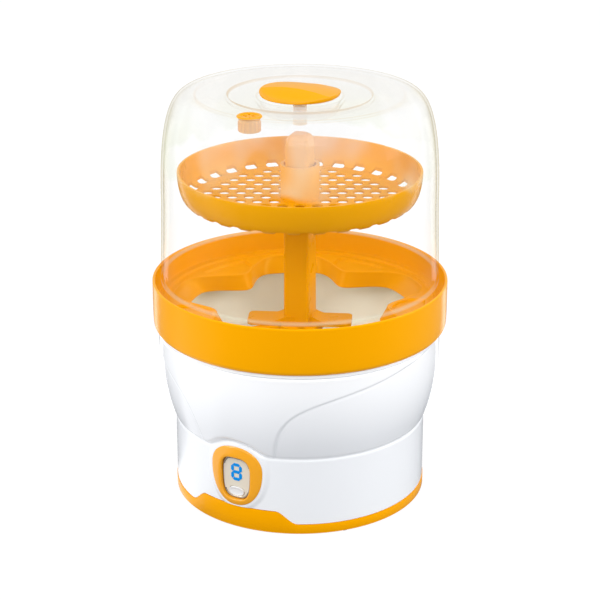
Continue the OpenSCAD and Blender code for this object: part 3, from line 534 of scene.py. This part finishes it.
def build_dome():
    """Clear lid: drafted wall, soft shoulder, raised lip around the top, a ring step and the knob's well."""
    foot, dish, plate, well = DOME_LOW[2], DOME_TOP - 1.1, DOME_TOP - 4, DOME_TOP - 16.6
    outer = [(DOME_R, foot, 0.4)] + dome_corner(0)
    outer += [(86.5, DOME_TOP - 0.8, 1.5), (84, dish, 1), (60, dish, 1), (59, dish - 0.8, 0.3), (58.2, plate, 0.8),
              (37.4, plate, 1), (35.8, plate + 0.6, 0.5), (35, plate - 0.2, 0.6), (29, well + 1.5, 2),
              (27, well, 1), (3.4, well)]
    inner = [(3.4, well - DOME_T), (27.6, well - DOME_T, 1), (30.6, well + 0.4, 2), (37, plate - 2.2, 1),
             (60.2, plate - 2.2, 1), (61, dish - DOME_T, 1), (84, dish - DOME_T, 1),
             (86.5, DOME_TOP - DOME_T - 0.8, 1)]
    inner += dome_corner(DOME_T)[::-1] + [(DOME_R - DOME_T, foot, 0.4)]
    verts, faces = lathe(rounded(outer + inner, 5), 256)
    return add_piece("lid_dome_shell", verts, faces, "lid", "clear_plastic", ("lid_dome",), 60)


def build_rack():
    """Orange rack: collar, ledge and shelf, with a star of five bottle bays and a pocket behind each cusp."""
    angles = np.linspace(0, 2 * math.pi, 720, endpoint=False)
    pitch = 2 * math.pi / BAY_COUNT
    cusp_angle = np.degrees(np.abs((((angles + STAR_TURN) / pitch) % 1) - 0.5) * pitch)
    star_top = 107 - 32 * np.cos(np.radians(90 * np.minimum(1, cusp_angle / 30))) ** 2
    star_low = 96 - 27 * np.cos(np.radians(90 * np.minimum(1, cusp_angle / 24))) ** 2
    full = np.ones_like(angles)
    R = COLLAR_R
    outside = rounded([(106.8, RACK_Z), (R - 2.6, RACK_Z, 1), (R - 0.4, RACK_Z + 2.4, 2), (R, RACK_Z + 10, 4),
                       (R, RACK_RIM_Z, 1.6), (R - 2.4, RACK_RIM_Z, 1.6), (R - 4.3, LEDGE_Z, 1), (R - 10.3, LEDGE_Z, 0.8),
                       (R - 10.8, SHELF_Z, 0.6), (R - 11.8, SHELF_Z)], 5, closed=False)
    rows = [(r * full, z * full) for r, z in outside]
    for share in np.linspace(0.02, 1, 40):
        r = (R - 11.8) + (star_top + 2.6 - (R - 11.8)) * share
        pocket = smoothstep(0.0, 1.2, r - star_top - 4) * smoothstep(105.5, 104.3, r)
        pocket *= smoothstep(13, 12, cusp_angle)
        rows.append((r, SHELF_Z - 2 * pocket))
    rows += [(star_top + d, (SHELF_Z + up) * full) for d, up in ((1.9, 0.35), (1.2, 0.5), (0.6, 0.3), (0.1, -0.3), (0, -0.9))]
    rows += [(star_top + (star_low - star_top) * t, (SHELF_Z - 0.9 - 11.6 * t) * full) for t in (0.33, 0.66, 1.0)]
    rows += [(star_low + 0.8, (SHELF_Z - 13) * full), (star_low + 2, (SHELF_Z - 12.6) * full),
             (star_top + 2.2, (SHELF_Z - 2.2) * full)]
    rows += [(r * full, z * full) for r, z in [
        (R - 11.2, SHELF_Z - 2.2), (R - 8.2, LEDGE_Z - 2.2), (R - 2.4, LEDGE_Z - 2.6), (R - 2.4, RACK_Z + 2.2),
        (106.8, RACK_Z + 2.2)]]
    verts = [(r * math.sin(a), -r * math.cos(a), z) for row in rows for r, z, a in zip(row[0], row[1], angles)]
    faces = grid_faces(len(rows), len(angles), wrap_rows=True)
    return add_piece("lower_rack_shell", verts, faces, "rack", "orange_plastic", ("lower_rack",), 40)


def build_rack_hub():
    """The disc under the column's foot and the two arms that carry it."""
    top = HUB_Z + 5.4
    verts, faces = lathe(rounded([(9.2, HUB_Z), (20, HUB_Z, 1), (20, top, 0.8), (9.2, top, 0.4)], 4), 96)
    verts = list(verts)
    outline = rounded([(-4, 0, 0.8), (4, 0, 0.8), (4, 5.4, 0.8), (-4, 5.4, 0.8)], 4)
    path = rounded([(14, HUB_Z + 2.7), (76, HUB_Z + 2.7, 6), (76, SHELF_Z - 8)], 6, closed=False)
    for turn in (-math.pi / BAY_COUNT - STAR_TURN, math.pi / BAY_COUNT - STAR_TURN):
        start = len(verts)
        for i, (r, z) in enumerate(path):
            before, after = path[max(0, i - 1)], path[min(len(path) - 1, i + 1)]
            slope = math.atan2(after[1] - before[1], after[0] - before[0])
            for side, up in outline:
                out_r = r - (up - 2.7) * math.sin(slope)
                out_z = z + (up - 2.7) * math.cos(slope)
                x, y = side, -out_r
                verts.append((x * math.cos(turn) - y * math.sin(turn), x * math.sin(turn) + y * math.cos(turn), out_z))
        n = len(outline)
        faces += [tuple(start + i for i in f) for f in grid_faces(len(path), n)]
        faces.append(tuple(range(start, start + n)))
        faces.append(tuple(range(start + (len(path) - 1) * n, start + len(path) * n)))
    return add_piece("lower_rack_hub", verts, faces, "rack", "orange_plastic", (), 40)


def build_knob():
    """Orange knob: a disc whose back part rises to a crest, the front scooped out for the fingers."""
    rim_z = DOME_TOP
    crest_y, crest_h = -9.0, 4.2
    def rim(a):
        """The rim dips at the front and back and rises at both ends of the crest."""
        return 1.45 * math.cos(a) ** 2 - 1.75 * math.sin(a) ** 2
    def height(x, y):
        crest = (crest_h - 1.4) * max(0.0, 1 - (x / 31) ** 2) + 1.4
        ridge = 0.5 * math.exp(-((y - crest_y) / 0.9) ** 2) * max(0.0, 1 - (x / 31) ** 2)
        edge = math.sqrt(max(0.0, KNOB_R ** 2 - x * x))
        end = rim(math.atan2(edge, x))
        if y >= crest_y:
            t = min(1.0, (y - crest_y) / max(1e-6, edge - crest_y))
            return end + (crest - end) * (1 - t ** 1.9) + ridge
        t = min(1.0, (crest_y - y) / max(1e-6, edge + crest_y))
        scoop = 1.5 * math.sin(math.pi * t) * max(0.0, 1 - (x / 33) ** 2)
        return end + (crest - end) * (1 - float(smoothstep(0, 0.7, t))) - scoop + ridge
    rings, spokes = 70, 180
    verts = []
    for i in range(rings + 1):
        r = (KNOB_R - 0.4) * (i / rings)
        for j in range(spokes):
            a = 2 * math.pi * j / spokes
            x, y = r * math.cos(a), r * math.sin(a)
            verts.append((x, y, rim_z + height(x, y)))
    # (radius, height above or below the rim, share of the rim's rise)
    side = [(KNOB_R - 0.1, -0.25, 1), (KNOB_R, -0.7, 1), (KNOB_R - 0.1, -1.3, 0.8), (KNOB_R - 0.7, -2.3, 0.3),
            (KNOB_R - 2.4, -3, 0), (6.6, -3, 0), (5.8, -3.4, 0), (5.6, -4.4, 0), (5.6, -16.4, 0), (3.2, -16.5, 0),
            (3.2, -22.6, 0), (0, -22.6, 0)]
    for r, drop, share in side:
        for j in range(spokes):
            a = 2 * math.pi * j / spokes
            verts.append((r * math.cos(a), r * math.sin(a), rim_z + drop + share * max(rim(a), -1.2)))
    faces = grid_faces(rings + 1 + len(side), spokes)
    piece = add_piece("lid_knob_grip", verts, faces, "lid", "orange_plastic", ("lid_knob",), 32)
    piece.data.materials[0] = satin_orange
    piece.data.materials.append(natural)
    for polygon in piece.data.polygons:
        polygon.material_index = int(polygon.center.z < (rim_z - 3.2) * MM)


def outline_rings(rings, spokes, outline):
    """Points of nested outlines; outline(angle, ring) gives (x, y, z)."""
    return [outline(2 * math.pi * j / spokes, i) for i in range(rings) for j in range(spokes)]


def window_edge(a, grow):
    """The window's outline at angle a, a soft oblong a little wider at the top."""
    u = float(signed_power(math.sin(a), 0.62))
    return ((WINDOW_W / 2 + grow) * float(signed_power(math.cos(a), 0.62)) * (1 + 0.05 * u),
            WINDOW_Z + (WINDOW_H / 2 + grow) * u)


def build_bezel():
    """Egg-shaped orange frame, pillowed between the pad and the window."""
    spokes = 144
    def egg_edge(a):
        c, s = math.cos(a), math.sin(a)
        half = BEZEL_W - 4 if s > 0 else BEZEL_W + 8.5
        return BEZEL_W * float(signed_power(c, 0.92)), BEZEL_Z + half * float(signed_power(s, 0.92))
    # (share of the way from window to egg, height above the pad)
    section = [(0.0, -1.9), (0.0, 1.0), (0.012, 1.3), (0.04, 1.55), (0.09, 1.75), (0.16, 1.85), (0.24, 1.85),
               (0.34, 1.76), (0.46, 1.6), (0.58, 1.42), (0.7, 1.22), (0.8, 1.04), (0.88, 0.86), (0.94, 0.62),
               (0.98, 0.3), (1.0, 0.05), (0.995, -0.6)]
    def point(a, i):
        share, rise = section[i]
        x0, z0 = window_edge(a, 0.15)
        x1, z1 = egg_edge(a)
        x, z = x0 + (x1 - x0) * share, z0 + (z1 - z0) * share
        return x, -(math.sqrt(PAD_R ** 2 - x * x) + rise), z
    verts = outline_rings(len(section), spokes, point)
    faces = grid_faces(len(section), spokes)
    piece = add_piece("display_bezel_frame", verts, faces, "base", "orange_plastic", ("display_bezel",), 50)
    piece.data.materials[0] = bezel_orange


def on_lens(x, rise):
    """Y of a point on the lens, raised towards the front."""
    return -(math.sqrt(LENS_R ** 2 - x * x) + rise)


def button_edge(a, grow):
    """The start button's outline at angle a, an upright-sided oval."""
    return ((BUTTON_W / 2 + grow) * float(signed_power(math.cos(a), 0.85)),
            BUTTON_Z + (BUTTON_H / 2 + grow) * float(signed_power(math.sin(a), 0.85)))


def build_window():
    """The lens: a rolled edge, a shallow dish, and a hole the button moves in."""
    # (how far inside the outline, share of the way to the button's hole, height above the lens)
    section = [(-0.1, 0, -1.2), (-0.1, 0, 0.1), (0.3, 0, 0.5), (0.8, 0, 0.6), (1.3, 0, 0.4), (1.9, 0, 0.05),
               (2.3, 0.2, -0.1), (2.3, 0.4, -0.2), (2.3, 0.6, -0.25), (2.3, 0.8, -0.25), (2.3, 1, -0.25),
               (2.3, 1, -2.2)]
    def point(a, i):
        inset, share, rise = section[i]
        outer_x, outer_z = window_edge(a, -inset)
        hole_x, hole_z = button_edge(a, BUTTON_GAP)
        x = outer_x + (hole_x - outer_x) * share
        z = outer_z + (hole_z - outer_z) * share
        return x, on_lens(x, rise), z
    spokes = 144
    verts = outline_rings(len(section), spokes, point)
    faces = grid_faces(len(section), spokes)
    piece = add_piece("display_window_lens", verts, faces, "base", "window_smoke", ("display_window",), 50)
    piece.data.materials.append(shaded_lens_rim)
    # the outer rim of the lens takes the darkened metal: partly its own metal, partly painted shade
    rim = 1 - 1.5 / (WINDOW_W / 2)
    for polygon in piece.data.polygons:
        x, _, z = polygon.center / MM
        polygon.material_index = int(window_radius(x, z) > rim)


def build_digit():
    """Seven-segment 8: bars with pointed ends and chamfered edges, just proud of the lens."""
    width, half_w, half_h = 2.7, 3.8, 6.4
    middle = (box_mm("digit_segments")[0][2] + box_mm("digit_segments")[1][2]) / 2
    bars = [(0, k * half_h, 2 * half_w - 0.5, 0) for k in (-1, 0, 1)]
    bars += [(side * half_w, k * half_h / 2, half_h - 0.5, 1) for side in (-1, 1) for k in (-1, 1)]
    verts, faces = [], []
    for centre_x, centre_z, length, upright in bars:
        start = len(verts)
        for inset, rise in ((0, -0.6), (0, 0.1), (0.25, 0.25)):
            l, w = length / 2 - inset, width / 2 - inset
            outline = [(-l, 0), (-l + w, -w), (l - w, -w), (l, 0), (l - w, w), (-l + w, w)]
            for u, v in outline:
                x, z = (v, u) if upright else (u, v)
                x, z = centre_x + x, middle + centre_z + z
                verts.append((x, on_lens(x, rise), z))
        faces += [tuple(start + i for i in f) for f in grid_faces(3, 6)]
        faces.append(tuple(range(start + 12, start + 18)))
    return add_piece("digit_segments_lit", verts, faces, "base", "digit_blue", ("digit_segments",), 30)


def build_button():
    """Oval start button with a raised rim and a dished face."""
    # (how far inside the outline, height above the lens)
    section = [(0, -1.5), (0, 0.5), (0.2, 0.85), (0.6, 1.0), (1.0, 0.9), (1.5, 0.6), (2.4, 0.5), (3.4, 0.48)]
    spokes = 96
    def point(a, i):
        inset, rise = section[i]
        x, z = button_edge(a, -inset)
        return x, on_lens(x, rise), z
    verts = outline_rings(len(section), spokes, point)
    faces = grid_faces(len(section), spokes)
    last = (len(section) - 1) * spokes
    faces.append(tuple(range(last, last + spokes)))
    return add_piece("start_button_cap", verts, faces, "button", "button_silver", ("start_button",), 40)


build_housing()
build_dome()
build_rack()
build_rack_hub()
build_knob()
build_bezel()
build_window()
build_digit()
build_button()

# ---- CAD nodes keep their shape and get finished materials ----------------------
slot_of_node = {part["node"]: part["material_slot"] for part in frame["record"]["subparts"]}
for name, node in frame["nodes"].items():
    node.data.materials.clear()
    node.data.materials.append(MATERIAL_OF_SLOT[slot_of_node[name]])
    weld = node.modifiers.new("weld", "WELD")
    weld.merge_threshold = 1e-6
frame["nodes"]["steam_vent"].data.materials[0] = satin_orange
frame["nodes"]["knob_nut"].data.materials[0] = natural
# the tray and column take the darker orange: painted shade
for name in ("upper_tray", "column"):
    frame["nodes"][name].data.materials[0] = shaded_orange

SOFTENED = {"upper_tray": 0.3, "column": 0.5, "bottom_cover": 0.5, "steam_vent": 0.15, "water_basin": 0.6,
            "mains_plug": 1.0}
for name, width in SOFTENED.items():
    bevel = frame["nodes"][name].modifiers.new("soft edges", "BEVEL")
    bevel.width = width * MM
    bevel.segments = 2
    bevel.limit_method = "ANGLE"
    bevel.angle_limit = math.radians(38)


# ---- studio -------------------------------------------------------------------
CAMERA_TURN = math.radians(29.3)
CAMERA_TILT = math.radians(68.984)
AIM = Vector((0, 0, 0.17))


def studio_place(right, towards, up):
    """A place given as seen from the camera: to the right, towards the camera, and up, in metres."""
    c, s = math.cos(CAMERA_TURN), math.sin(CAMERA_TURN)
    return Vector((right * c + towards * s, right * s - towards * c, up))


def add_light(name, place, size_x, size_y, level, target=AIM, colour=(1, 1, 1)):
    """A softbox aimed at the target. Level is the brightness it alone would give a white card there."""
    data = bpy.data.lights.new(name, "AREA")
    data.shape = "RECTANGLE"
    data.size = size_x
    data.size_y = size_y
    data.energy = level * math.pi ** 2 * (target - place).length_squared
    data.color = colour
    light = bpy.data.objects.new(name, data)
    light.location = place
    light.rotation_euler = (target - place).to_track_quat("-Z", "Y").to_euler()
    bpy.context.scene.collection.objects.link(light)
    return light


def build_floor():
    """White sweep. The camera sees it bright; the object sees a greyer table with two bright cards on it."""
    s = Shader("floor")
    s.tree.nodes.remove(s.bsdf)
    camera_ray = s.add("ShaderNodeLightPath").outputs["Is Camera Ray"]
    to_camera = s.add("ShaderNodeVectorRotate", {"rotation_type": "Z_AXIS"}, Vector=s.place, Angle=-CAMERA_TURN)
    axes = s.add("ShaderNodeSeparateXYZ", Vector=to_camera.outputs[0])
    turn = s.add("ShaderNodeMath", {"operation": "ARCTAN2"})
    s.put(turn.inputs[0], axes.outputs["X"])
    s.put(turn.inputs[1], axes.outputs["Y"])
    away = s.add("ShaderNodeMath", {"operation": "ABSOLUTE"})
    s.put(away.inputs[0], turn.outputs[0])
    near_side = s.spread(away.outputs[0], 1.0, 0.0, math.radians(43), math.radians(47))
    far_side = s.spread(away.outputs[0], 0.0, 1.0, math.radians(36), math.radians(40))
    card = s.add("ShaderNodeMath", {"operation": "MULTIPLY"})
    s.put(card.inputs[0], near_side)
    s.put(card.inputs[1], far_side)
    left_in = s.spread(turn.outputs[0], 0.0, 1.0, math.radians(-128), math.radians(-116))
    left_out = s.spread(turn.outputs[0], 1.0, 0.0, math.radians(-84), math.radians(-76))
    left_card = s.add("ShaderNodeMath", {"operation": "MULTIPLY"})
    s.put(left_card.inputs[0], left_in)
    s.put(left_card.inputs[1], left_out)
    cards = s.add("ShaderNodeMath", {"operation": "ADD"})
    s.put(cards.inputs[0], s.spread(card.outputs[0], 0.0, 2.2, 0, 1))
    s.put(cards.inputs[1], s.spread(left_card.outputs[0], 0.0, 0.7, 0, 1))
    card_light = s.add("ShaderNodeEmission", Color=(1, 1, 1, 1), Strength=cards.outputs[0])
    behind = s.spread(away.outputs[0], 0.0, 1.0, math.radians(26), math.radians(36))
    table_colour = s.mix_colour(behind, (0.10, 0.11, 0.13, 1), (0.30, 0.31, 0.33, 1))
    table = s.add("ShaderNodeBsdfDiffuse", Color=table_colour)
    seen_by_object = s.add("ShaderNodeAddShader")
    s.tree.links.new(table.outputs[0], seen_by_object.inputs[0])
    s.tree.links.new(card_light.outputs[0], seen_by_object.inputs[1])
    glow = s.add("ShaderNodeEmission", Color=(1, 1, 1, 1), Strength=0.9)
    shadow = s.add("ShaderNodeBsdfDiffuse", Color=(0.13, 0.13, 0.13, 1))
    seen_by_camera = s.add("ShaderNodeAddShader")
    s.tree.links.new(glow.outputs[0], seen_by_camera.inputs[0])
    s.tree.links.new(shadow.outputs[0], seen_by_camera.inputs[1])
    choice = s.add("ShaderNodeMixShader", Fac=camera_ray)
    s.tree.links.new(seen_by_object.outputs[0], choice.inputs[1])
    s.tree.links.new(seen_by_camera.outputs[0], choice.inputs[2])
    s.tree.links.new(choice.outputs[0], s.output.inputs["Surface"])
    mesh = bpy.data.meshes.new("floor")
    half = 30
    mesh.from_pydata([(-half, -half, 0), (half, -half, 0), (half, half, 0), (-half, half, 0)], [], [(0, 1, 2, 3)])
    mesh.materials.append(s.material)
    floor = bpy.data.objects.new("floor", mesh)
    bpy.context.scene.collection.objects.link(floor)


def build_world():
    """Bright ceiling, dimmer towards the horizon; brighter on both sides than in front and behind."""
    world = bpy.data.worlds.new("studio")
    bpy.context.scene.world = world
    world.use_nodes = True
    nodes, links = world.node_tree.nodes, world.node_tree.links
    background = nodes["Background"]
    place = nodes.new("ShaderNodeTexCoord")
    split = nodes.new("ShaderNodeSeparateXYZ")
    links.new(place.outputs["Generated"], split.inputs[0])
    ceiling = nodes.new("ShaderNodeMapRange")
    for key, number in (("From Min", 0.0), ("From Max", 0.5), ("To Min", 0.98), ("To Max", 0.92)):
        ceiling.inputs[key].default_value = number
    links.new(split.outputs["Z"], ceiling.inputs["Value"])
    across = nodes.new("ShaderNodeVectorMath")
    across.operation = "DOT_PRODUCT"
    across.inputs[1].default_value = studio_place(1, 0, 0)
    links.new(place.outputs["Generated"], across.inputs[0])
    either_side = nodes.new("ShaderNodeMath")
    either_side.operation = "ABSOLUTE"
    links.new(across.outputs["Value"], either_side.inputs[0])
    front = nodes.new("ShaderNodeMapRange")
    for key, number in (("From Min", 0.2), ("From Max", 0.8), ("To Min", 0.85), ("To Max", 1.2)):
        front.inputs[key].default_value = number
    links.new(either_side.outputs[0], front.inputs["Value"])
    strength = nodes.new("ShaderNodeMath")
    strength.operation = "MULTIPLY"
    links.new(ceiling.outputs[0], strength.inputs[0])
    links.new(front.outputs[0], strength.inputs[1])
    background.inputs["Color"].default_value = (0.98, 0.99, 1.0, 1)
    links.new(strength.outputs[0], background.inputs["Strength"])


build_floor()
build_world()
add_light("key", studio_place(-1.7, 0.6, 1.1), 0.8, 1.2, 0.26)
add_light("side", studio_place(1.9, 0.2, 0.8), 0.8, 1.2, 0.34)
add_light("front", studio_place(0.2, 1.8, 1.5), 1.2, 0.8, 0.28)
add_light("top", studio_place(0.2, -0.4, 2.0), 1.4, 1.4, 0.08)

camera_data = bpy.data.cameras.new("camera")
camera_data.lens = 110.54
camera_data.sensor_width = 36
camera = bpy.data.objects.new("camera", camera_data)
camera.location = (0.7111, -1.2671, 0.7242)
camera.rotation_euler = (CAMERA_TILT, 0, CAMERA_TURN)
bpy.context.scene.collection.objects.link(camera)
bpy.context.scene.camera = camera
bpy.context.scene.view_settings.view_transform = "Standard"
bpy.context.scene.cycles.transparent_max_bounces = 40
